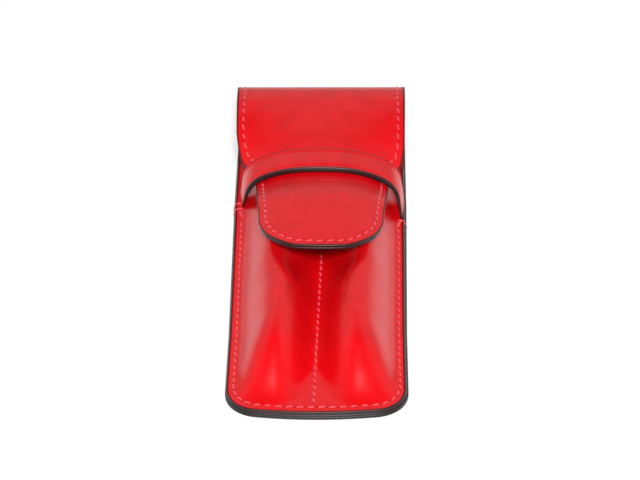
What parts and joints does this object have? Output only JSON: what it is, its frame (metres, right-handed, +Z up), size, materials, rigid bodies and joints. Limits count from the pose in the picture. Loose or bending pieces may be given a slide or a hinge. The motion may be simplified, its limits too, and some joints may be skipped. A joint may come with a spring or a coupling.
{
  "type": "leather pen case",
  "caption": "Flat leather case with side-by-side moulded pen pockets, closed by a fold-over flap whose rounded tongue tucks under a sewn keeper strap.",
  "frame": {"origin": "under the middle of the case, on the surface that it lies on with its back down", "axes": "+X across the width to the right, +Y along the case from the bottom seam to the top fold, +Z up out of the front"},
  "size_m": [0.0614, 0.171, 0.0254],
  "materials": {
    "red_leather": "gloss",
    "lining_leather": "matte",
    "sewing_thread": "matte"
  },
  "bodies": {
    "case": {"back_panel": "red_leather", "back_lining": "lining_leather", "front_panel": "red_leather", "front_lining": "lining_leather", "keeper_strap": "red_leather", "perimeter_thread_front": "sewing_thread", "perimeter_thread_back": "sewing_thread", "center_thread_front": "sewing_thread", "center_thread_back": "sewing_thread", "side_thread_inner": "sewing_thread"},
    "fold": {"fold_leather": "red_leather", "fold_lining": "lining_leather", "fold_thread_outer": "sewing_thread", "fold_thread_inner": "sewing_thread"},
    "flap": {"flap_leather": "red_leather", "flap_lining": "lining_leather", "flap_thread_outer": "sewing_thread", "flap_thread_inner": "sewing_thread"}
  },
  "joints": [
    {"name": "flap_open", "type": "hinge", "parent": "case", "child": "fold", "pos_m": [0, 0.08184, 0.00366], "axis": [-1, 0, 0], "range_deg": [0, 75], "deforming": ["keeper_strap"]},
    {"name": "flap_bend", "type": "hinge", "parent": "fold", "child": "flap", "pos_m": [0, 0.08184, 0.02134], "axis": [-1, 0, 0], "range_deg": [0, 75]}
  ],
  "couplings": [
    {"joint": "flap_bend", "follows": "flap_open", "ratio": 1}
  ]
}
